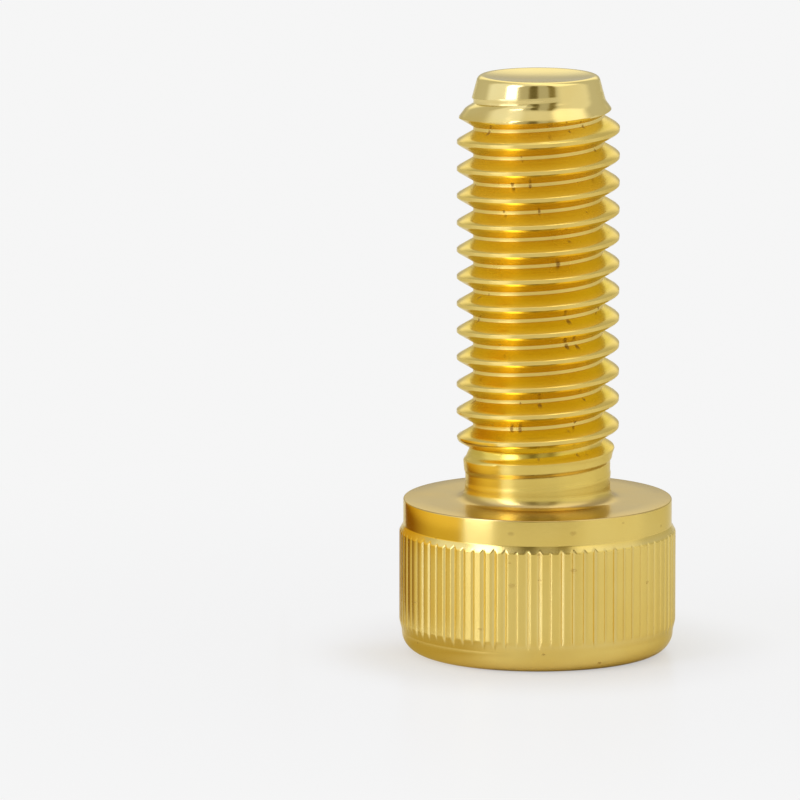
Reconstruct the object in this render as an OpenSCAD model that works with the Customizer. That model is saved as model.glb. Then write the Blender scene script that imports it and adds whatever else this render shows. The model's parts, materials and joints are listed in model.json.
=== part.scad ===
// Socket head cap screw, one piece, standing on the top of its head with the tip up.
// The head's top face lies on z = 0 and the axis of the screw is the z axis.

/* [Shank] */
// Major diameter of the thread, which the plain shank here fills
thread_d = 6; // [4.5:0.1:7.4]
// Pitch of the thread, which sets the neck's rolling diameter
pitch = 1; // [0.5:0.05:1.25]
// Length from the bearing face to the tip
shank_length = 15.7; // [8:0.1:60]
// Length of the thinner neck between the bearing face and the thread
neck_length = 1.15; // [0.8:0.05:4]
// Length of the cone between the neck and the thread
neck_run_out = 0.35; // [0.1:0.05:0.8]
// Radius of the fillet between the neck and the bearing face
fillet_r = 0.4; // [0.15:0.05:0.6]
// Diameter of the flat end of the tip
tip_d = 4.44; // [2:0.02:4.48]
// Angle of the long tip cone from the axis
tip_angle = 22; // [15:1:45]
// Radius that rounds the edge of the flat end
tip_edge = 0.22; // [0.05:0.01:0.3]
// Depth of the shallow dish that rolling leaves in the flat end
tip_dish = 0.1; // [0.05:0.01:0.2]

/* [Head] */
// Diameter over the knurl
head_d = 10.2; // [8.4:0.1:13]
// Height of the head
head_h = 5.7; // [4.7:0.1:8]
// How far the plain collar stands inside the knurl
collar_step = 0.15; // [0.1:0.01:0.4]
// Length of the plain collar under the bearing face
collar_length = 0.95; // [0.3:0.05:1.2]
// Length of the cone between the collar and the knurl
shoulder_length = 0.28; // [0.1:0.01:0.6]
// Edge break around the bearing face
bearing_edge = 0.06; // [0.02:0.01:0.12]
// Radius that rounds the edge of the head's top face
crown_r = 0.75; // [0.3:0.05:0.8]

/* [Knurl] */
// Number of straight grooves around the head
knurl_count = 76; // [48:1:96]
// Depth of a groove
knurl_depth = 0.085; // [0.05:0.005:0.14]
// Angle between the two flanks of a groove
groove_angle = 115; // [90:5:120]
// Height of the plain band between the top face and the knurl
knurl_start = 0.8; // [0.8:0.05:1.5]
// Length over which the ridges rise from the plain band
knurl_rise = 0.4; // [0.05:0.01:0.6]

/* [Socket] */
// Width of the hexagon across its flats
socket_width = 5; // [3:0.1:6]
// Depth of the hexagon's corners
socket_depth = 3; // [1:0.1:4]
// Further depth of the cone that the punch leaves in the floor
floor_drop = 0.35; // [0.1:0.05:0.6]
// Diameter of the flat in the middle of the floor
floor_flat_d = 1.8; // [0.6:0.1:2.4]
// How far the mouth's countersink reaches past the hexagon's corners
mouth_margin = 0.21; // [0.05:0.01:0.3]
// Depth of the countersink where it meets the middle of each flat
mouth_depth = 0.45; // [0.1:0.05:0.7]

/* [Hidden] */
$fn = 96;

thread_r = thread_d / 2;
// A thread is rolled on a blank of its pitch diameter, and the neck keeps that size
neck_r = thread_r - pitch * sqrt(3) * 3 / 16;
tip_r = tip_d / 2;
tip_length = (thread_r - tip_r) / tan(tip_angle);
// The edge's arc touches the cone and the flat end at this distance from their corner
tip_reach = tip_edge * tan((90 - tip_angle) / 2);
dish_edge_r = tip_r - tip_reach;
dish_sphere_r = (dish_edge_r * dish_edge_r + tip_dish * tip_dish) / (2 * tip_dish);

crest_r = head_d / 2;
root_r = crest_r - knurl_depth;
// The plain band stays just inside the grooves, so that they run out on it
band_r = root_r - 0.01;
collar_r = crest_r - collar_step;
shoulder_z = head_h - collar_length;
tip_z = head_h + shank_length;

// Height to which the flanks of two grooves would rise between them in a sharp ridge
ridge_r = root_r + PI * root_r / knurl_count / tan(groove_angle / 2);
hex_corner_r = socket_width / sqrt(3);
mouth_r = hex_corner_r + mouth_margin;
flat_r = socket_width / 2;
// Small overrun of a cutting solid past the surface that it cuts
over = 0.1;

// Point at a radius and an angle
function polar(r, a) = [r * cos(a), r * sin(a)];

// Half section of the head before the knurl is cut, from the axis outwards
module head_section() {
    difference() {
        polygon([
            [0, 0],
            [band_r, 0],
            [band_r, knurl_start],
            [crest_r, knurl_start + knurl_rise],
            [crest_r, shoulder_z - shoulder_length],
            [collar_r, shoulder_z],
            [collar_r, head_h - bearing_edge],
            [collar_r - bearing_edge, head_h],
            [0, head_h]
        ]);
        crown_cut();
    }
}

// What the rounding takes off the corner of the head's half section
module crown_cut() {
    difference() {
        translate([band_r - crown_r, -over])
            square([crown_r + over, crown_r + over]);
        translate([band_r - crown_r, crown_r])
            circle(r = crown_r);
    }
}

// Outline of the knurl: a star of sharp ridges, which the head's own diameter trims flat
module knurl_outline() {
    step = 360 / knurl_count;
    polygon([
        for (i = [0 : knurl_count - 1])
            each [polar(root_r, i * step), polar(ridge_r, (i + 0.5) * step)]
    ]);
}

// Turned head with its straight knurl
module head() {
    intersection() {
        rotate_extrude()
            head_section();
        translate([0, 0, -over])
            linear_extrude(head_h + 2 * over)
                knurl_outline();
    }
}

// Half section of the neck, the shank and the long cone of the tip
module shank_section() {
    difference() {
        polygon([
            [0, head_h - over],
            [neck_r, head_h - over],
            [neck_r, head_h + neck_length - neck_run_out],
            [thread_r, head_h + neck_length],
            [thread_r, tip_z - tip_length],
            [tip_r, tip_z],
            [0, tip_z]
        ]);
        tip_cut();
        dish_cut();
    }
}

// What the rounding takes off the corner between the tip's cone and its flat end
module tip_cut() {
    centre = [dish_edge_r, tip_z - tip_edge];
    difference() {
        polygon([
            centre,
            [tip_r + tip_reach * sin(tip_angle), tip_z - tip_reach * cos(tip_angle)],
            [tip_r + tip_reach, tip_z + over],
            [dish_edge_r, tip_z + over]
        ]);
        translate(centre)
            circle(r = tip_edge);
    }
}

// Half section of the sphere that hollows the flat end
module dish_cut() {
    intersection() {
        translate([0, tip_z - tip_dish])
            square([dish_edge_r, tip_dish + over]);
        translate([0, tip_z - tip_dish + dish_sphere_r])
            circle(r = dish_sphere_r);
    }
}

// Half section of the fillet in the corner between the neck and the bearing face
module fillet_section() {
    difference() {
        translate([neck_r - over, head_h - over])
            square(fillet_r + over);
        translate([neck_r + fillet_r, head_h + fillet_r])
            circle(r = fillet_r);
    }
}

// Turned shank, at the thread's major diameter
module shank() {
    rotate_extrude() {
        shank_section();
        fillet_section();
    }
}

// Half section that bounds the socket: a shallow cone with a flat middle
module socket_bound() {
    polygon([
        [0, -over],
        [hex_corner_r + over, -over],
        [hex_corner_r + over, socket_depth],
        [hex_corner_r, socket_depth],
        [floor_flat_d / 2, socket_depth + floor_drop],
        [0, socket_depth + floor_drop]
    ]);
}

// Hexagonal socket as the punch leaves it
module socket() {
    intersection() {
        translate([0, 0, -2 * over])
            cylinder(r = hex_corner_r, h = socket_depth + floor_drop + 3 * over, $fn = 6);
        rotate_extrude()
            socket_bound();
    }
}

// Countersink at the socket's mouth, which scallops the top of each flat
module mouth() {
    slope = (mouth_r - flat_r) / mouth_depth;
    translate([0, 0, -over])
        cylinder(
            r1 = mouth_r + slope * over,
            r2 = flat_r - slope * over,
            h = mouth_depth + 2 * over
        );
}

module screw() {
    color("goldenrod")
        difference() {
            union() {
                head();
                shank();
            }
            socket();
            mouth();
        }
}

screw();
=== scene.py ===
"""Socket head cap screw, gold-plated, standing on its head: looks, light and camera around the packed solid."""
import json
import math

import bmesh
import bpy
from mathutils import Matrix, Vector


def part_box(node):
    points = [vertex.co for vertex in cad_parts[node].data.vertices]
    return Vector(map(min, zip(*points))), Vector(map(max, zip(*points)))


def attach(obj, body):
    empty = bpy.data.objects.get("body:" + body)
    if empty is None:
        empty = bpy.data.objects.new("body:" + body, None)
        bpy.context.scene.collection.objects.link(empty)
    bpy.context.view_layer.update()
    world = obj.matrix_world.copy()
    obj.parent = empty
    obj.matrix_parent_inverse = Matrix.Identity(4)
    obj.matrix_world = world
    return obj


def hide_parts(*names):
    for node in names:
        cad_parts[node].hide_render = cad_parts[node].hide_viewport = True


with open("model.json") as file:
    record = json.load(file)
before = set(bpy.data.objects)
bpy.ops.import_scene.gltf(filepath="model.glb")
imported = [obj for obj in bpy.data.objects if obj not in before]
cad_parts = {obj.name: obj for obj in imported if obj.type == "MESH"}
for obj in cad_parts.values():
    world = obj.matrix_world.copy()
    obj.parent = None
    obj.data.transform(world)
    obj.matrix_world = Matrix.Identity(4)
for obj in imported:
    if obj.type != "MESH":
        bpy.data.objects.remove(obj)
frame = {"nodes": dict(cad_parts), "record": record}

bl_info = {
    "name": "Socket Head Cap Screw",
    "version": (1, 0, 0),
    "blender": (4, 5, 0),
    "location": "3D View > Sidebar > Screw",
    "description": "Builds a knurled cap screw with a rolled thread, its plating and a small photo studio",
    "category": "Add Mesh",
}

MM = 0.001
NODE = "screw"
BODY = "root"

# Two points closer than this are one point
WELD = 0.0008 * MM
# Edges that turn more than this stay crisp
CRISP_ANGLE = math.radians(38)
# Points round the shank, the knurl and the socket for each knurl ridge
SHANK_SHARE = 2
KNURL_SHARE = 12
SOCKET_SHARE = 6
# Thread rows in one pitch
ROWS_PER_PITCH = 16


def mount(name):
    """The packed record's mount of that name."""
    return next(m for m in frame["record"]["mounts"] if m["name"] == name)


LOW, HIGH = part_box(NODE)
HEAD_RADIUS = max(math.hypot(v.co.x, v.co.y) for v in frame["nodes"][NODE].data.vertices)
THREAD_RADIUS = mount("thread")["dims"]["r_mm"] * MM
BEARING_Z = mount("bearing_face")["pos_m"][2]
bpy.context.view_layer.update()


def length(name, description, default, low=0.0, high=0.1):
    """A size property in metres."""
    return bpy.props.FloatProperty(
        name=name,
        description=description,
        default=default,
        min=low,
        max=high,
        precision=5,
        subtype="DISTANCE",
        unit="LENGTH",
    )


def angle(name, description, degrees):
    """An angle property, given in degrees and held in radians."""
    return bpy.props.FloatProperty(
        name=name,
        description=description,
        default=math.radians(degrees),
        subtype="ANGLE",
        unit="ROTATION",
    )


def colour(name, description, default):
    """A colour property in linear light."""
    return bpy.props.FloatVectorProperty(
        name=name,
        description=description,
        default=default,
        size=3,
        min=0.0,
        max=1.0,
        subtype="COLOR",
    )


def share(name, description, default, high=1.0):
    """A plain number property."""
    return bpy.props.FloatProperty(name=name, description=description, default=default, min=0.0, max=high)


class ShankSizes(bpy.types.PropertyGroup):
    """Sizes of the neck, the thread and the tip."""

    tip_z: length("Tip height", "Height of the flat end of the tip", HIGH.z)
    tip_r: length("Tip radius", "Radius of the flat end of the tip", 2.22 * MM)
    tip_edge: length("Tip edge", "Radius that rounds the edge of the flat end", 0.22 * MM)
    tip_dish: length("Tip dish", "Depth of the shallow dish that rolling leaves in the flat end", 0.10 * MM)
    tip_angle: angle("Tip angle", "Slope of the tip's slim lead, from the axis", 15)
    lead: length("Lead", "Length of the slim lead", 0.92 * MM)
    flare_angle: angle("Flare angle", "Slope from the lead out to the first full crest, from the axis", 36)
    crest_r: length("Crest radius", "Radius over the thread's crests", THREAD_RADIUS - 0.01 * MM)
    pitch: length("Pitch", "Rise of the thread in one turn", 1.0 * MM)
    start: length("Thread start", "Height at which the first crest crosses the x axis", 0.44 * MM)
    neck_r: length("Neck radius", "Radius of the plain neck", 2.675 * MM)
    crest_flat: length("Crest width", "Width of the thread's crests before they are rounded", 0.17 * MM)
    rounding: length("Rounding", "Softness of the crests and of the tip's cone", 0.09 * MM)
    root_rounding: length("Root rounding", "Softness of the roots", 0.045 * MM)
    neck_top: length("Neck top", "Height at which the neck begins to widen", BEARING_Z + 0.6 * MM)
    fade: length("Run-out", "Height over which the thread then reaches its full depth", 1.8 * MM)
    tip_fade: length("Tip run-out", "Height over which the grooves grow shallow towards the tip", 0.5 * MM)
    fillet_r: length("Fillet", "Radius between the neck and the bearing face", 0.4 * MM)


class HeadSizes(bpy.types.PropertyGroup):
    """Sizes of the head, its collar and its knurl."""

    bearing_z: length("Bearing face", "Height of the bearing face", BEARING_Z)
    crest_r: length("Head radius", "Radius over the knurl", HEAD_RADIUS)
    collar_step: length("Collar step", "How far the plain collar stands inside the knurl", 0.15 * MM)
    collar_length: length("Collar", "Length of the plain collar", 0.95 * MM)
    shoulder: length("Shoulder", "Length of the cone between the collar and the knurl", 0.28 * MM)
    bearing_edge: length("Bearing edge", "Edge break around the bearing face", 0.06 * MM)
    crown_r: length("Crown", "Radius that rounds the edge of the top face", 0.75 * MM)
    ridges: bpy.props.IntProperty(name="Ridges", description="Ridges round the knurl", default=76, min=24, max=96)
    groove: length("Groove", "Depth of the deepest knurl groove", 0.085 * MM)
    unevenness: share("Unevenness", "How much shallower the shallowest knurl groove is, as a share", 0.55)
    groove_angle: angle("Groove angle", "Angle between a knurl groove's flanks", 115)
    knurl_start: length("Knurl start", "Height of the plain band below the knurl", 0.8 * MM)
    knurl_rise: length("Knurl rise", "Height over which the ridges rise from the band", 0.4 * MM)


class SocketSizes(bpy.types.PropertyGroup):
    """Sizes of the hexagonal socket."""

    width: length("Width", "Width across the flats", 5.0 * MM)
    depth: length("Depth", "Depth of the corners", 3.0 * MM)
    floor_drop: length("Floor drop", "Depth of the coned floor", 0.35 * MM)
    floor_r: length("Floor flat", "Radius of the flat in the floor", 0.9 * MM)
    mouth_margin: length("Mouth margin", "How far the countersink passes the corners", 0.21 * MM)
    mouth_depth: length("Mouth depth", "Depth of the countersink at the flats", 0.45 * MM)


class FinishValues(bpy.types.PropertyGroup):
    """Colours and gloss of the plating."""

    gold: colour("Gold", "Colour of the plating", (0.93, 0.70, 0.19))
    deep: colour("Deep gold", "Colour in the thread's grooves", (0.91, 0.685, 0.085))
    pale: colour("Pale gold", "Colour of the tip", (0.97, 0.79, 0.315))
    dim: colour("Dim gold", "Colour of the satin bearing face", (0.61, 0.445, 0.185))
    pit: colour("Pit", "Colour of the small pits", (0.52, 0.33, 0.08))
    gloss: share("Polish roughness", "Roughness of the polished faces", 0.16)
    satin: share("Satin roughness", "Roughness of the bearing face and the knurl", 0.24)


class StudioValues(bpy.types.PropertyGroup):
    """Camera, floor and light."""

    camera_x: length("Camera x", "Sideways place of the camera", -5.07 * MM, -1.0, 1.0)
    camera_y: length("Camera y", "How far the camera stands in front", -365.6 * MM, -1.0, 1.0)
    camera_z: length("Camera z", "Height of the camera", 71.34 * MM, -1.0, 1.0)
    camera_tilt: angle("Camera tilt", "How far the camera looks down", 9.626)
    lens: bpy.props.FloatProperty(name="Lens", description="Focal length in millimetres", default=453.4)
    paper: colour("Paper", "Colour of the floor", (0.90, 0.895, 0.88))
    backdrop: share("Backdrop", "Brightness of the background, where 1 is white", 0.92)


def polar(radius, turn, height):
    """The point at a radius, a share of a full turn and a height."""
    a = 2 * math.pi * turn
    return (radius * math.cos(a), radius * math.sin(a), height)


def arc(centre, radius, start, end, steps):
    """Half-section points along an arc, from one angle in degrees to another, both ends included."""
    turns = [math.radians(start + (end - start) * i / steps) for i in range(steps + 1)]
    return [(centre[0] + radius * math.cos(a), centre[1] + radius * math.sin(a)) for a in turns]


def steps_between(start, end, steps):
    """Half-section points on the straight line between two points, without its ends."""
    return [
        (start[0] + (end[0] - start[0]) * i / steps, start[1] + (end[1] - start[1]) * i / steps)
        for i in range(1, steps)
    ]


def rounded(corners):
    """Half-section points along a line; a corner with a third and a fourth number is an arc of that
    radius in that many steps."""
    points = [corners[0][:2]]
    for before, corner, after in zip(corners, corners[1:], corners[2:]):
        here = Vector(corner[:2])
        if len(corner) == 2:
            points.append(corner)
            continue
        _, _, radius, steps = corner
        back = (Vector(before[:2]) - here).normalized()
        ahead = (Vector(after[:2]) - here).normalized()
        half = back.angle(ahead) / 2
        centre = here + (back + ahead).normalized() * radius / math.sin(half)
        start = here + back * radius / math.tan(half) - centre
        end = here + ahead * radius / math.tan(half) - centre
        spokes = [start.slerp(end, i / steps).normalized() * radius for i in range(steps + 1)]
        points += [tuple(centre + spoke) for spoke in spokes]
    return points + [corners[-1][:2]]


def plain(points, count):
    """Rings of one radius and height each, for half-section points."""
    return [(count, lambda turn, p=p: p) for p in points]


def skin(mesh, rings, closed_start, closed_end):
    """Adds the surface through a list of rings, each with its own number of points, and caps its ends."""
    made = []
    for count, place in rings:
        loop = []
        for i in range(count):
            radius, height = place(i / count)
            loop.append(mesh.verts.new(polar(radius, i / count, height)))
        made.append(loop)
    for lower, upper in zip(made, made[1:]):
        count = max(len(lower), len(upper))
        for i in range(count):
            corners = []
            for loop, k in ((lower, i), (lower, i + 1), (upper, i + 1), (upper, i)):
                vert = loop[(k * len(loop) // count) % len(loop)]
                if vert not in corners:
                    corners.append(vert)
            if len(corners) > 2:
                mesh.faces.new(corners)
    for loop, wanted in ((made[0], closed_start), (made[-1], closed_end)):
        if wanted:
            height = sum(v.co.z for v in loop) / len(loop)
            centre = mesh.verts.new((0, 0, height))
            for a, b in zip(loop, loop[1:] + loop[:1]):
                mesh.faces.new((a, b, centre))


def hexagon(turn, flat_r):
    """Distance from the axis to a hexagon's side, with a corner on the x axis."""
    side = (turn * 6) % 1.0 - 0.5
    return flat_r / math.cos(side * math.pi / 3)


def head_rings(shank, head):
    """Rings from the neck over the bearing face and the collar to the top face's flat."""
    slim = head.ridges * SHANK_SHARE
    fine = head.ridges * KNURL_SHARE
    collar_r = head.crest_r - head.collar_step
    band_r = head.crest_r - head.groove - 0.01 * MM
    collar_foot = (collar_r, head.bearing_z - head.collar_length)
    shoulder = (head.crest_r, collar_foot[1] - head.shoulder)
    knurl_foot = (head.crest_r, head.knurl_start + head.knurl_rise)
    band = (band_r, head.knurl_start)
    face_r = shank.neck_r + shank.fillet_r + 0.25 * MM
    neck = rounded([
        (shank.neck_r, shank.neck_top - 0.12 * MM),
        (shank.neck_r, head.bearing_z, shank.fillet_r, 8),
        (face_r, head.bearing_z),
    ])
    side = rounded([
        ((face_r + collar_r) / 2, head.bearing_z),
        (collar_r, head.bearing_z, head.bearing_edge, 4),
        (*collar_foot, 0.10 * MM, 4),
        *steps_between(collar_foot, shoulder, 9),
        (*shoulder, 0.10 * MM, 5),
        (*knurl_foot, 0.30 * MM, 3),
        *steps_between(knurl_foot, band, 5),
        (*band, 0.20 * MM, 2),
        (band_r, 0.0, head.crown_r, 12),
        (band_r - head.crown_r - 0.05 * MM, 0.0),
    ])
    return plain(neck, slim) + plain(side, fine)


def socket_rings(head, socket):
    """Rings from the top face's flat into the socket and over its floor."""
    count = head.ridges * SOCKET_SHARE
    flat_r = socket.width / 2
    corner_r = socket.width / math.sqrt(3)
    mouth_r = corner_r + socket.mouth_margin
    mouth_slope = socket.mouth_depth / (mouth_r - flat_r)
    floor_slope = socket.floor_drop / (corner_r - socket.floor_r)
    top_r = head.crest_r - head.groove - head.crown_r - 0.06 * MM

    def mouth(part):
        """A ring of the countersink, from its outer edge to where it meets the hexagon."""
        return lambda turn: (
            mouth_r + (hexagon(turn, flat_r) - mouth_r) * part,
            (mouth_r - hexagon(turn, flat_r)) * mouth_slope * part,
        )

    def wall(part):
        """A ring of the hexagon's wall, from the countersink to the floor."""

        def place(turn):
            side = hexagon(turn, flat_r)
            start = (mouth_r - side) * mouth_slope
            end = socket.depth + (corner_r - side) * floor_slope
            return side, start + (end - start) * part

        return place

    def floor(part):
        """A ring of the coned floor, from the wall to the flat in its middle."""

        def place(turn):
            radius = hexagon(turn, flat_r) + (socket.floor_r - hexagon(turn, flat_r)) * part
            return radius, socket.depth + (corner_r - radius) * floor_slope

        return place

    rings = plain(steps_between((top_r, 0.0), (mouth_r, 0.0), 4) + [(mouth_r, 0.0)], count)
    rings += [(count, mouth(part)) for part in (0.33, 0.67, 1.0)]
    rings += [(count, wall(part)) for part in (0.03, 0.25, 0.5, 0.75, 0.97, 1.0)]
    rings += [(count, floor(part)) for part in (0.05, 0.3, 0.65, 1.0)]
    return rings + plain([(socket.floor_r * 0.5, socket.depth + socket.floor_drop)], count)


def tip_rings(shank, head, join_z):
    """Rings from the thread's end over the tip cone to the flat end."""
    count = head.ridges * SHANK_SHARE
    slope = math.tan(shank.tip_angle)
    edge = shank.tip_edge
    # The edge's arc starts square to the cone and ends square to the flat
    turn = math.pi / 2 - shank.tip_angle
    reach = edge * math.tan(turn / 2)
    foot = (shank.tip_r + reach * math.sin(shank.tip_angle), shank.tip_z - reach * math.cos(shank.tip_angle))
    join = (shank.tip_r + (shank.tip_z - join_z) * slope, join_z)
    centre = (shank.tip_r - reach, shank.tip_z - edge)
    points = [join] + steps_between(join, foot, 3)
    points += arc(centre, edge, math.degrees(shank.tip_angle), 90, 5)
    rim_r = points[-1][0]
    for part in (0.93, 0.83, 0.7, 0.55, 0.4, 0.2):
        points.append((rim_r * part, shank.tip_z - shank.tip_dish * (1 - part * part)))
    return plain(points, count)


class Number:
    """A number socket that takes part in Python expressions, each of which adds its Math nodes."""

    def __init__(self, nodes, socket):
        self.nodes = nodes
        self.socket = socket

    def __add__(self, other):
        return self.nodes.maths("ADD", self, other)

    def __radd__(self, other):
        return self.nodes.maths("ADD", other, self)

    def __sub__(self, other):
        return self.nodes.maths("SUBTRACT", self, other)

    def __rsub__(self, other):
        return self.nodes.maths("SUBTRACT", other, self)

    def __mul__(self, other):
        return self.nodes.maths("MULTIPLY", self, other)

    def __rmul__(self, other):
        return self.nodes.maths("MULTIPLY", other, self)

    def __truediv__(self, other):
        return self.nodes.maths("DIVIDE", self, other)

    def __rtruediv__(self, other):
        return self.nodes.maths("DIVIDE", other, self)


class Nodes:
    """Adds nodes to one node tree, and links them."""

    def __init__(self, tree):
        self.tree = tree
        self.tree.nodes.clear()

    def add(self, kind, settings=None, values=None):
        """A node of that type, with its settings set first and then its sockets' values or links."""
        node = self.tree.nodes.new(kind)
        for name, value in (settings or {}).items():
            if name == "stops":
                self.set_stops(node.color_ramp, value)
            else:
                setattr(node, name, value)
        for key, value in (values or {}).items():
            self.feed(node.inputs[key], value)
        return node

    def feed(self, socket, value):
        """Links a number, a node's socket or a plain value into a socket."""
        if isinstance(value, Number):
            value = value.socket
        if isinstance(value, bpy.types.NodeSocket):
            self.tree.links.new(value, socket)
        else:
            socket.default_value = value

    def set_stops(self, ramp, stops):
        """Gives a colour ramp its stops, each a position and a grey or a colour."""
        while len(ramp.elements) < len(stops):
            ramp.elements.new(0.5)
        for element, (position, tone) in zip(ramp.elements, stops):
            element.position = position
            element.color = (tone, tone, tone, 1) if isinstance(tone, float) else (*tone, 1)

    def maths(self, operation, *terms):
        """The result of a Math node."""
        node = self.add("ShaderNodeMath", {"operation": operation}, dict(enumerate(terms)))
        return Number(self, node.outputs[0])

    def out(self, node, key=0):
        """A node's output as a number."""
        return Number(self, node.outputs[key])

    def smooth_step(self, value, low, high, start=0.0, end=1.0):
        """A smooth rise from one value to another as a number passes from low to high."""
        node = self.add(
            "ShaderNodeMapRange",
            {"interpolation_type": "SMOOTHSTEP"},
            {0: value, 1: low, 2: high, 3: start, 4: end},
        )
        return self.out(node)

    def ramp(self, value, low, high):
        """An even rise from 0 to 1 as a number passes from low to high."""
        return self.out(self.add("ShaderNodeMapRange", values={0: value, 1: low, 2: high}))

    def mix(self, factor, first, second):
        """A blend of two colours."""
        node = self.add("ShaderNodeMix", {"data_type": "RGBA"}, {0: factor, 6: first, 7: second})
        return node.outputs[2]


class Form(Nodes):
    """A Geometry Nodes tree whose inputs are named sizes."""

    def __init__(self, name, sizes):
        tree = bpy.data.node_groups.new(name, "GeometryNodeTree")
        super().__init__(tree)
        tree.is_modifier = True
        tree.interface.new_socket("Geometry", in_out="INPUT", socket_type="NodeSocketGeometry")
        tree.interface.new_socket("Geometry", in_out="OUTPUT", socket_type="NodeSocketGeometry")
        self.values = {}
        for label, value in sizes.items():
            kind = "NodeSocketInt" if isinstance(value, int) else "NodeSocketFloat"
            socket = tree.interface.new_socket(label, in_out="INPUT", socket_type=kind)
            self.values[socket.identifier] = value
        self.group = self.add("NodeGroupInput")
        self.size = {label: self.out(self.group, label) for label in sizes}

    def place(self):
        """The x, y and z of each point."""
        position = self.add("GeometryNodeInputPosition")
        split = self.add("ShaderNodeSeparateXYZ", values={0: position.outputs[0]})
        return [self.out(split, i) for i in range(3)]

    def move(self, geometry, x, y, z):
        """Geometry with each point set to a new place."""
        place = self.add("ShaderNodeCombineXYZ", values={0: x, 1: y, 2: z})
        return self.add("GeometryNodeSetPosition", values={"Geometry": geometry, "Position": place.outputs[0]}).outputs[0]

    def finish(self, geometry, material):
        """Ends the tree with one material on plain geometry."""
        smooth = self.add("GeometryNodeSetShadeSmooth", values={"Geometry": geometry})
        plain_mesh = self.add("GeometryNodeRealizeInstances", values={"Geometry": smooth.outputs[0]})
        painted = self.add(
            "GeometryNodeSetMaterial", values={"Geometry": plain_mesh.outputs[0], "Material": material}
        )
        self.add("NodeGroupOutput", values={"Geometry": painted.outputs[0]})

    def apply_to(self, piece):
        """Puts the tree on a piece as a modifier, with its sizes set."""
        modifier = piece.modifiers.new(self.tree.name, "NODES")
        modifier.node_group = self.tree
        for identifier, value in self.values.items():
            modifier[identifier] = value


def thread_join(shank):
    """Height at which the tip cone has left the thread's rounded roots behind."""
    join_r = thread_root(shank) - 1.05 * shank.rounding
    return shank.tip_z - (join_r - shank.tip_r) / math.tan(shank.tip_angle)


def thread_root(shank):
    """Radius of the thread's roots, five eighths of the full triangle below the crests."""
    return shank.crest_r - shank.pitch * math.sqrt(3) / 2 * 0.70


def thread_form(shank, head, material):
    """The rolled thread: a sheet wound along the helix, whose rows follow the crests and the roots."""
    form = Form(
        "Rolled thread",
        {
            "Columns": head.ridges * SHANK_SHARE,
            "Rows per pitch": ROWS_PER_PITCH,
            "Pitch": shank.pitch,
            "Start": shank.start,
            "Bottom": shank.neck_top - 0.12 * MM,
            "Top": thread_join(shank),
            "Crest radius": shank.crest_r,
            "Root radius": thread_root(shank),
            "Neck radius": shank.neck_r,
            "Neck top": shank.neck_top,
            "Run-out": shank.fade,
            "Tip run-out": shank.tip_fade,
            "Tip height": shank.tip_z,
            "Tip radius": shank.tip_r,
            "Tip slope": math.tan(shank.tip_angle),
            "Lead": shank.lead,
            "Flare slope": math.tan(shank.flare_angle),
            "Crest width": shank.crest_flat,
            "Rounding": shank.rounding,
            "Root rounding": shank.root_rounding,
        },
    )
    size = form.size
    turns = form.maths("CEIL", (size["Top"] - size["Bottom"]) / size["Pitch"]) + 2
    grid = form.add(
        "GeometryNodeMeshGrid",
        values={
            "Size X": 1.0,
            "Size Y": 1.0,
            "Vertices X": size["Columns"] + 1,
            "Vertices Y": turns * size["Rows per pitch"] + 1,
        },
    )
    x, y, _ = form.place()
    turn = x + 0.5
    # Rows climb with the helix, and the ones past either end lie on that end's ring. Counting from the
    # thread's own start keeps a row on each crest and each root.
    first = form.maths("FLOOR", (size["Bottom"] - size["Start"]) / size["Pitch"]) - 1
    climb = (first + (y + 0.5) * turns + turn) * size["Pitch"] + size["Start"]
    z = form.maths("MINIMUM", form.maths("MAXIMUM", climb, size["Bottom"]), size["Top"])
    phase = (z - size["Start"]) / size["Pitch"] - turn
    from_root = form.maths("ABSOLUTE", form.maths("FRACT", phase) - 0.5) * size["Pitch"]
    sharp_root = size["Crest radius"] - (size["Pitch"] - size["Crest width"]) * (math.sqrt(3) / 2)
    flank = sharp_root + from_root * math.sqrt(3)
    # Near the neck the die leaves lower crests and shallower roots
    middle = size["Neck top"] + size["Run-out"] * 0.5
    full = size["Neck top"] + size["Run-out"]
    rise = form.smooth_step(z, size["Neck top"], middle) * 0.2 + form.smooth_step(z, middle, full) * 0.8
    fall = form.ramp(z, middle - size["Run-out"] * 0.02, middle + size["Run-out"] * 0.37)
    crest = size["Neck radius"] + (size["Crest radius"] - size["Neck radius"]) * rise
    deep = size["Neck radius"] + (size["Root radius"] - size["Neck radius"]) * fall
    # Towards the tip the cone leaves the die less and less metal
    below = size["Tip height"] - z
    lead = size["Tip radius"] + below * size["Tip slope"]
    flare = (below - size["Lead"]) * (size["Flare slope"] - size["Tip slope"])
    cone = lead + form.maths("SMOOTH_MAX", flare, 0.0, size["Rounding"] * 0.5)
    ends = form.smooth_step(z, size["Top"] - size["Tip run-out"], size["Top"])
    root = deep + form.maths("MAXIMUM", cone - deep, 0.0) * ends
    groove = form.maths("SMOOTH_MAX", flank, root, size["Root rounding"])
    ridge = form.maths("SMOOTH_MIN", groove, crest, size["Rounding"])
    worked = form.maths("SMOOTH_MIN", ridge, cone, size["Rounding"])
    blend = form.smooth_step(z, size["Bottom"], size["Neck top"])
    radius = size["Neck radius"] + (worked - size["Neck radius"]) * blend
    around = turn * (2 * math.pi)
    wound = form.move(
        grid.outputs[0], radius * form.maths("COSINE", around), radius * form.maths("SINE", around), z
    )
    both = form.add("GeometryNodeJoinGeometry")
    form.tree.links.new(form.group.outputs["Geometry"], both.inputs[0])
    form.tree.links.new(wound, both.inputs[0])
    welded = form.add("GeometryNodeMergeByDistance", values={"Geometry": both.outputs[0], "Distance": WELD})
    form.finish(welded.outputs[0], material)
    return form


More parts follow.
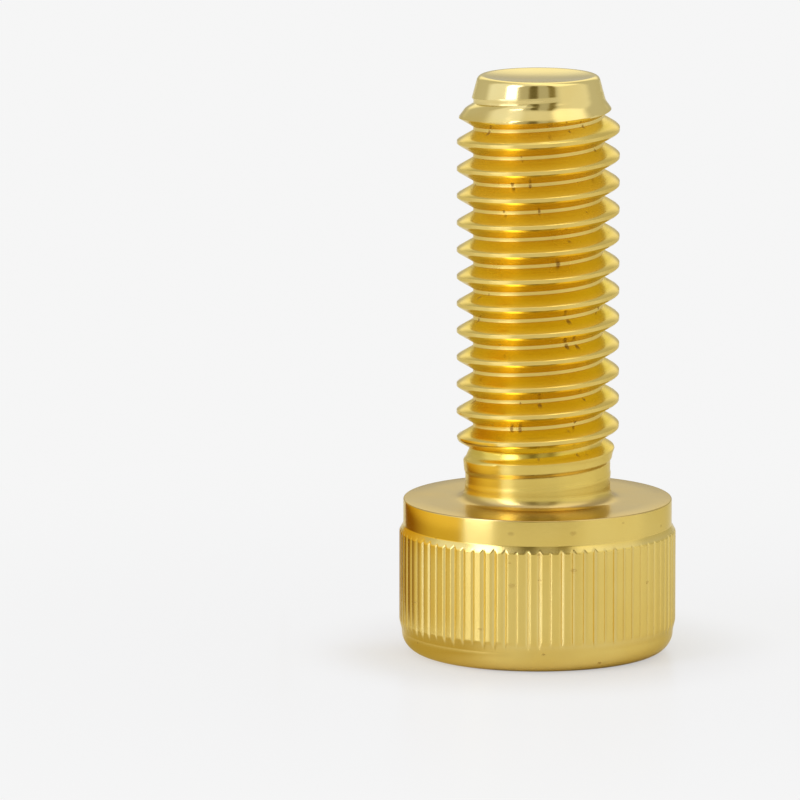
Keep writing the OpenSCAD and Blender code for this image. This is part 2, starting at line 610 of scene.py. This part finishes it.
def knurl_form(head, material):
    """The straight knurl: uneven V-grooves along the head, which stop where the head is slimmer."""
    form = Form(
        "Straight knurl",
        {
            "Ridges": head.ridges,
            "Ridge radius": head.crest_r,
            "Groove": head.groove,
            "Unevenness": head.unevenness,
            "Flank slope": 1 / math.tan(head.groove_angle / 2),
            "Rounding": 0.03 * MM,
            "Seed": 7,
        },
    )
    size = form.size
    x, y, z = form.place()
    radius = form.maths("SQRT", x * x + y * y)
    around = form.maths("ARCTAN2", y, x)
    place = around * size["Ridges"] / (2 * math.pi)
    index = form.maths("ROUND", place)
    seeded = form.maths("WRAP", index, size["Ridges"], 0.0) + size["Seed"]
    chance = form.add("ShaderNodeTexWhiteNoise", {"noise_dimensions": "1D"}, {"W": seeded})
    depth = size["Groove"] * (1 - size["Unevenness"] * form.out(chance, "Value"))
    from_middle = form.maths("ABSOLUTE", place - index) * (2 * math.pi) * size["Ridge radius"] / size["Ridges"]
    groove = form.maths("SMOOTH_MAX", depth - from_middle * size["Flank slope"], 0.0, size["Rounding"] * 0.5)
    cut = size["Ridge radius"] - groove
    trimmed = form.maths("SMOOTH_MIN", radius, cut, size["Rounding"])
    is_outside = form.maths("GREATER_THAN", radius, size["Ridge radius"] - size["Groove"] * 1.3)
    scale = 1 + (trimmed / form.maths("MAXIMUM", radius, 0.01 * MM) - 1) * is_outside
    moved = form.move(form.group.outputs["Geometry"], x * scale, y * scale, z)
    form.finish(moved, material)
    return form


def plain_mesh_of(piece):
    """Turns a piece's modifiers into its mesh and removes them."""
    bpy.context.view_layer.update()
    evaluated = piece.evaluated_get(bpy.context.evaluated_depsgraph_get())
    mesh = bpy.data.meshes.new_from_object(evaluated)
    piece.modifiers.clear()
    piece.data = mesh
    return mesh


def close_up(mesh):
    """Welds a mesh, points its faces outwards and keeps its hard edges crisp."""
    work = bmesh.new()
    work.from_mesh(mesh)
    bmesh.ops.remove_doubles(work, verts=work.verts, dist=WELD)
    bmesh.ops.recalc_face_normals(work, faces=work.faces)
    open_edges = [e for e in work.edges if not e.is_manifold]
    if open_edges:
        raise RuntimeError(f"{len(open_edges)} edges of {mesh.name} are open")
    for face in work.faces:
        face.smooth = True
    work.to_mesh(mesh)
    work.free()
    mesh.set_sharp_from_angle(angle=CRISP_ANGLE)


def gold_material(finish, shank):
    """Polished gold plating: deeper in the thread's grooves, with fine texture, pits and a satin bearing face."""
    material = bpy.data.materials.new("gold plating")
    material.use_nodes = True
    nodes = Nodes(material.node_tree)
    place = nodes.add("ShaderNodeTexCoord").outputs["Object"]
    split = nodes.add("ShaderNodeSeparateXYZ", values={0: place})
    x, y, z = (nodes.out(split, i) for i in range(3))
    radius = nodes.maths("SQRT", x * x + y * y)

    def noise(scale, detail=3.0, roughness=0.55):
        made = nodes.add(
            "ShaderNodeTexNoise",
            values={"Vector": place, "Scale": scale, "Detail": detail, "Roughness": roughness},
        )
        return nodes.out(made, 0)

    # Unrolled, with its seam at the back
    unrolled = nodes.add(
        "ShaderNodeCombineXYZ", values={0: nodes.maths("ARCTAN2", x, 0 - y) * shank.crest_r, 1: z, 2: 0.0}
    )

    def specks(scale, share, low, high):
        """Round spots of uneven size in a few of a pattern's cells."""
        cells = nodes.add(
            "ShaderNodeTexVoronoi",
            {"voronoi_dimensions": "2D"},
            {"Vector": unrolled.outputs[0], "Scale": scale},
        )
        kind = nodes.add("ShaderNodeSeparateXYZ", values={0: cells.outputs["Color"]})
        size = low + (high - low) * nodes.out(kind, 1)
        spot = nodes.smooth_step(nodes.out(cells, "Distance") / size, 1.0, 0.35)
        return spot * nodes.maths("LESS_THAN", nodes.out(kind, 0), share)

    cloud = noise(330.0)
    grain = noise(5200.0, 4.0)
    on_thread = nodes.smooth_step(z, shank.neck_top + 0.5 * MM, shank.neck_top + shank.fade)
    cone_foot = shank.tip_z - shank.lead - 0.9 * MM
    on_tip = nodes.smooth_step(z, cone_foot, cone_foot + 0.7 * MM)
    in_groove = on_thread * nodes.smooth_step(radius, shank.crest_r - 0.08 * MM, shank.crest_r - 0.38 * MM)
    in_groove = in_groove * (1 - on_tip)
    # The very roots, and the grooves near the tip, are less deep in colour
    deep_share = in_groove * nodes.smooth_step(z, 13.5 * MM, 18 * MM, 1.0, 0.6)
    root_r = thread_root(shank)
    at_root = nodes.smooth_step(radius, root_r + 0.07 * MM, root_r + 0.015 * MM)
    deep_share = deep_share * (1 - 0.9 * at_root)
    near_root = on_thread * nodes.smooth_step(radius, shank.crest_r - 0.25 * MM, shank.crest_r - 0.50 * MM)
    on_face = nodes.smooth_step(z, BEARING_Z - 0.06 * MM, BEARING_Z - 0.01 * MM)
    on_face = on_face * nodes.smooth_step(z, BEARING_Z + 0.40 * MM, BEARING_Z + 0.05 * MM)
    on_neck = nodes.smooth_step(z, BEARING_Z + 0.05 * MM, BEARING_Z + 0.3 * MM)
    on_neck = on_neck * nodes.smooth_step(z, shank.neck_top + 1.4 * MM, shank.neck_top + 0.6 * MM)
    low_on_head = nodes.smooth_step(z, 1.6 * MM, 0.3 * MM)
    on_knurl = nodes.smooth_step(z, BEARING_Z - 0.9 * MM, BEARING_Z - 1.2 * MM)
    in_knurl = on_knurl * nodes.smooth_step(radius, HEAD_RADIUS - 0.015 * MM, HEAD_RADIUS - 0.05 * MM)
    in_knurl = in_knurl * nodes.smooth_step(z, 0.8 * MM, 1.2 * MM)
    # Rolling marks run along the flanks at an even depth
    mark_place = nodes.add("ShaderNodeCombineXYZ", values={0: radius * 13000.0, 1: y * 160.0, 2: x * 160.0})
    marks = nodes.out(nodes.add("ShaderNodeTexNoise", values={"Vector": mark_place.outputs[0], "Scale": 1.0, "Detail": 1.0}))
    marks = (marks - 0.5) * in_groove
    on_side = nodes.smooth_step(z, 0.15 * MM, 0.4 * MM) * nodes.smooth_step(radius, 4.3 * MM, 4.6 * MM) * (1 - on_face)
    pits = specks(2300.0, 0.13, 0.12, 0.34) * near_root * (1 - on_tip)
    pits = nodes.maths("MAXIMUM", pits, specks(1500.0, 0.15, 0.06, 0.17) * on_side * (0.35 + 0.45 * low_on_head))
    tint = nodes.mix(nodes.maths("MAXIMUM", deep_share, on_neck * 0.2), (*finish.gold, 1), (*finish.deep, 1))
    pale = nodes.mix(on_face, nodes.mix(nodes.maths("MAXIMUM", on_tip, in_knurl * 0.6), tint, (*finish.pale, 1)), (*finish.dim, 1))
    # A darker, warmer tone in random blotches and along the rolling marks in the thread's grooves
    warm_share = nodes.smooth_step(cloud, 0.35, 0.75) * 0.25 + nodes.maths("MAXIMUM", marks, 0.0) * 0.8
    warm = nodes.mix(warm_share, pale, (0.82, 0.52, 0.06, 1))
    base = nodes.mix(pits, warm, (*finish.pit, 1))
    dull = finish.gloss + (finish.satin - finish.gloss) * on_face + (cloud - 0.5) * 0.10
    dull = dull - 0.04 * on_tip + 0.07 * on_neck + 0.10 * in_groove + 0.05 * on_knurl + pits * 0.30
    height = grain * 0.5 + noise(1500.0, 2.0) * 0.8 - pits * 0.3 + marks * 5.0
    bump = nodes.add(
        "ShaderNodeBump", values={"Strength": 0.5, "Distance": 0.004 * MM, "Height": height}
    )
    shader = nodes.add(
        "ShaderNodeBsdfPrincipled",
        values={
            "Base Color": base,
            "Metallic": 1.0,
            "Roughness": dull,
            "Specular Tint": (0.90, 0.86, 0.66, 1),
            "Normal": bump.outputs[0],
        },
    )
    nodes.add("ShaderNodeOutputMaterial", values={"Surface": shader.outputs[0]})
    return material


def paper_material(studio):
    """Pale glossy board, which fades into the background away from the screw."""
    material = bpy.data.materials.new("pale board")
    material.use_nodes = True
    nodes = Nodes(material.node_tree)
    place = nodes.add("ShaderNodeTexCoord").outputs["Object"]
    away = nodes.out(nodes.add("ShaderNodeVectorMath", {"operation": "LENGTH"}, {0: place}), "Value")
    shader = nodes.add(
        "ShaderNodeBsdfPrincipled",
        values={"Base Color": (*studio.paper, 1), "Roughness": 0.28, "Specular IOR Level": 0.35},
    )
    level = studio.backdrop
    glow = nodes.add("ShaderNodeEmission", values={"Color": (level, level, level, 1), "Strength": 1.0})
    is_camera = nodes.out(nodes.add("ShaderNodeLightPath"), "Is Camera Ray")
    near = nodes.smooth_step(away, 4.8 * MM, 10 * MM, 0.54, 0.87)
    fade = is_camera * (near + nodes.smooth_step(away, 8 * MM, 40 * MM, 0.0, 0.13))
    blend = nodes.add("ShaderNodeMixShader", values={0: fade, 1: shader.outputs[0], 2: glow.outputs[0]})
    nodes.add("ShaderNodeOutputMaterial", values={"Surface": blend.outputs[0]})
    return material


def painted_reflection_material():
    """Emitting card that only reflections see: a painted reflection of a warm, dark neighbour on the screw's left,
    darker towards its far end, with a foot of painted shade of the floor by the head.
    """
    material = bpy.data.materials.new("amber card")
    material.use_nodes = True
    nodes = Nodes(material.node_tree)
    place = nodes.add("ShaderNodeTexCoord").outputs["Object"]
    split = nodes.add("ShaderNodeSeparateXYZ", values={0: place})
    x, y, z = (nodes.out(split, i) for i in range(3))
    # The upright is a painted reflection: amber and brown tones that the screw's left side shows in place of a warm,
    # dark neighbour, darker towards the far end
    far = nodes.smooth_step(y, -3 * MM, 4 * MM)
    top = nodes.mix(far, (0.86, 0.66, 0.18, 1), (0.62, 0.39, 0.035, 1))
    middle = nodes.mix(far, (0.61, 0.45, 0.085, 1), (0.24, 0.10, 0.005, 1))
    low = nodes.mix(far, (0.66, 0.59, 0.40, 1), (0.26, 0.15, 0.03, 1))
    tone = nodes.mix(nodes.smooth_step(z, 5.1 * MM, 4.3 * MM), top, middle)
    tone = nodes.mix(nodes.smooth_step(z, 3.8 * MM, 2.8 * MM), tone, low)
    tone = nodes.mix(nodes.smooth_step(y, -6.0 * MM, -7.1 * MM), tone, (0.80, 0.76, 0.66, 1))
    # Painted shade: the foot on the floor has a dim brown tone, which the screw reflects in place of the lit floor
    # next to it
    is_upright = nodes.smooth_step(z, 0.1 * MM, 0.2 * MM)
    tone = nodes.mix(is_upright, (0.48, 0.385, 0.17, 1), tone)
    # The foot, painted shade of the floor next to the head, fades out towards the front and away from the screw
    outwards = nodes.maths("SQRT", x * x + y * y)
    foot = nodes.smooth_step(x, -1.2 * MM, -4.6 * MM) * nodes.smooth_step(outwards, 9.2 * MM, 6.0 * MM)
    foot = foot * nodes.smooth_step(y, 3.0 * MM, -1.0 * MM)
    glow = nodes.add("ShaderNodeEmission", values={"Color": tone, "Strength": 1.0})
    clear = nodes.add("ShaderNodeBsdfTransparent")
    blend = nodes.add(
        "ShaderNodeMixShader",
        values={0: nodes.maths("MAXIMUM", foot, is_upright), 1: clear.outputs[0], 2: glow.outputs[0]},
    )
    nodes.add("ShaderNodeOutputMaterial", values={"Surface": blend.outputs[0]})
    return material


def studio_world(studio):
    """A pale room: white behind the screw, and softer bands of light and shade in its reflections."""
    world = bpy.data.worlds.new("studio")
    world.use_nodes = True
    bpy.context.scene.world = world
    nodes = Nodes(world.node_tree)
    way = nodes.add("ShaderNodeTexCoord").outputs["Generated"]
    split = nodes.add("ShaderNodeSeparateXYZ", values={0: way})
    x, y, z = (nodes.out(split, i) for i in range(3))
    # Degrees round from the side that the camera looks from, positive to the right, and degrees up
    round_from_front = nodes.maths("ARCTAN2", x, 0 - y) * (180 / math.pi)
    up = nodes.maths("ARCSINE", z) * (180 / math.pi)

    def band(value, low, high, soft):
        """1 where a value lies between low and high, with soft edges."""
        rise = nodes.smooth_step(value, low - soft, low + soft)
        return rise * nodes.smooth_step(value, high + soft, high - soft)

    left = band(round_from_front, -104, -40, 9)
    right = band(round_from_front, 36, 102, 9)
    front = band(round_from_front, -38, 34, 5)
    camera = band(round_from_front, -18, -2, 2.5)
    stand = band(round_from_front, 19, 31, 2.5)
    high = nodes.smooth_step(up, 12, 22) * nodes.smooth_step(up, 60, 50)
    behind = nodes.smooth_step(nodes.maths("ABSOLUTE", round_from_front), 145, 165)
    left_fade = left * nodes.smooth_step(up, 50, 75, 1.0, 0.4)
    room = 0.54 + 0.38 * left_fade + 0.24 * right + 0.06 * front + 0.30 * nodes.smooth_step(up, 48, 80)
    room = room + 0.60 * behind * nodes.smooth_step(up, 7, 16) + 0.40 * right * nodes.smooth_step(up, 34, 46)
    shaded = room * (1 - 0.25 * front * high) * (1 - 0.75 * camera * high) * (1 - 0.6 * stand * high)
    path = nodes.add("ShaderNodeLightPath")
    is_camera = nodes.out(path, "Is Camera Ray")
    is_through = nodes.out(path, "Is Transmission Ray")
    is_mirror = nodes.out(path, "Is Glossy Ray")
    is_seen = nodes.maths("MAXIMUM", is_camera, is_through)
    rest = 0.72 + (shaded - 0.72) * is_mirror
    level = rest + (studio.backdrop - rest) * is_seen
    # A window on the left gives cooler light, and what stands in front is warm
    cool = nodes.mix(left * is_mirror, (1, 1, 1, 1), (0.94, 1.0, 1.22, 1))
    dark = nodes.maths("MAXIMUM", camera, stand) * high * is_mirror
    tone = nodes.mix(dark, cool, (1.08, 0.92, 0.42, 1))
    background = nodes.add("ShaderNodeBackground", values={"Color": tone, "Strength": level})
    nodes.add("ShaderNodeOutputWorld", values={"Surface": background.outputs[0]})


def soft_box(name, degrees_round, degrees_up, distance, width, height, radiance, tone):
    """An area lamp that faces the screw from a direction, given as for the world's bands."""
    lamp = bpy.data.lights.new(name, "AREA")
    lamp.shape = "RECTANGLE"
    lamp.size = width
    lamp.size_y = height
    # A flat lamp's power is its radiance times its area times pi
    lamp.energy = radiance * width * height * math.pi
    lamp.color = tone
    a, e = math.radians(degrees_round), math.radians(degrees_up)
    box = bpy.data.objects.new(name, lamp)
    box.location = (
        distance * math.sin(a) * math.cos(e),
        -distance * math.cos(a) * math.cos(e),
        distance * math.sin(e) + HIGH.z / 2,
    )
    box.rotation_euler = (math.pi / 2 - e, 0, a)
    bpy.context.scene.collection.objects.link(box)
    return box


class SCREW_OT_make_screw(bpy.types.Operator):
    """Make the plated screw: turned head, hexagonal socket, straight knurl and rolled thread"""

    bl_idname = "screw.make_screw"
    bl_label = "Make Screw"
    bl_options = {"REGISTER", "UNDO"}

    def execute(self, context):
        scene = context.scene
        shank, head, socket = scene.screw_shank, scene.screw_head, scene.screw_socket
        material = gold_material(scene.screw_finish, shank)
        blank = bmesh.new()
        skin(blank, head_rings(shank, head) + socket_rings(head, socket), False, True)
        skin(blank, tip_rings(shank, head, thread_join(shank)), False, True)
        mesh = bpy.data.meshes.new("plated_screw")
        blank.to_mesh(mesh)
        blank.free()
        piece = bpy.data.objects.new("plated_screw", mesh)
        scene.collection.objects.link(piece)
        knurl_form(head, material).apply_to(piece)
        thread_form(shank, head, material).apply_to(piece)
        close_up(plain_mesh_of(piece))
        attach(piece, BODY)
        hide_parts(NODE)
        return {"FINISHED"}


class SCREW_OT_make_studio(bpy.types.Operator):
    """Make the floor, the light and the camera"""

    bl_idname = "screw.make_studio"
    bl_label = "Make Studio"
    bl_options = {"REGISTER", "UNDO"}

    def execute(self, context):
        scene = context.scene
        studio = scene.screw_studio
        scene.view_settings.view_transform = "Standard"
        half = 2.0
        mesh = bpy.data.meshes.new("floor")
        mesh.from_pydata([(-half, -half, 0), (half, -half, 0), (half, half, 0), (-half, half, 0)], [], [(0, 1, 2, 3)])
        mesh.materials.append(paper_material(studio))
        floor = bpy.data.objects.new("floor", mesh)
        scene.collection.objects.link(floor)
        studio_world(studio)
        soft_box("strip light", -52, 34, 0.7, 0.25, 0.50, 2.3, (0.96, 1.02, 1.5))
        soft_box("low strip light", -56, 6, 0.7, 0.42, 0.18, 1.0, (0.92, 0.98, 1.5))
        # An emitting card that only reflections see: a painted reflection of a warm, dark neighbour on the left, and a
        # foot of painted shade on the floor by the head
        card_mesh = bpy.data.meshes.new("amber_card")
        x, low_y, high_y, top = -9.5 * MM, -7.2 * MM, 10 * MM, 7 * MM
        upright = [(x, low_y, 0), (x, high_y, 0), (x, high_y, top), (x, low_y, top)]
        turns = [0.375 + 0.335 * i / 8 for i in range(9)]
        foot = [polar(radius, turn, 0.01 * MM) for turn in turns for radius in (4.35 * MM, 9.4 * MM)]
        faces = [(0, 1, 2, 3)] + [(k, k + 1, k + 3, k + 2) for k in range(4, 20, 2)]
        card_mesh.from_pydata(upright + foot, [], faces)
        card_mesh.materials.append(painted_reflection_material())
        card = bpy.data.objects.new("amber_card", card_mesh)
        card.visible_camera = False
        card.visible_diffuse = False
        card.visible_shadow = False
        card.visible_transmission = False
        scene.collection.objects.link(card)
        camera = bpy.data.cameras.new("camera")
        camera.sensor_width = 36
        camera.lens = studio.lens
        camera.clip_start = 0.01
        camera.clip_end = 10
        seat = bpy.data.objects.new("camera", camera)
        seat.location = (studio.camera_x, studio.camera_y, studio.camera_z)
        seat.rotation_euler = (math.pi / 2 - studio.camera_tilt, 0, 0)
        scene.collection.objects.link(seat)
        scene.camera = seat
        return {"FINISHED"}


class SCREW_PT_panel(bpy.types.Panel):
    """Sizes, finish and studio of the screw"""

    bl_idname = "SCREW_PT_panel"
    bl_label = "Cap Screw"
    bl_space_type = "VIEW_3D"
    bl_region_type = "UI"
    bl_category = "Screw"

    def draw(self, context):
        for name, group in GROUPS.items():
            box = self.layout.box()
            box.label(text=group.__doc__)
            values = getattr(context.scene, name)
            for key in group.__annotations__:
                box.prop(values, key)
        self.layout.operator(SCREW_OT_make_screw.bl_idname)
        self.layout.operator(SCREW_OT_make_studio.bl_idname)


GROUPS = {
    "screw_shank": ShankSizes,
    "screw_head": HeadSizes,
    "screw_socket": SocketSizes,
    "screw_finish": FinishValues,
    "screw_studio": StudioValues,
}
CLASSES = (*GROUPS.values(), SCREW_OT_make_screw, SCREW_OT_make_studio, SCREW_PT_panel)


def register():
    for item in CLASSES:
        bpy.utils.register_class(item)
    for name, group in GROUPS.items():
        setattr(bpy.types.Scene, name, bpy.props.PointerProperty(type=group))


def unregister():
    for name in GROUPS:
        delattr(bpy.types.Scene, name)
    for item in reversed(CLASSES):
        bpy.utils.unregister_class(item)


def main():
    register()
    bpy.ops.screw.make_screw()
    bpy.ops.screw.make_studio()


if __name__ == "__main__":
    main()
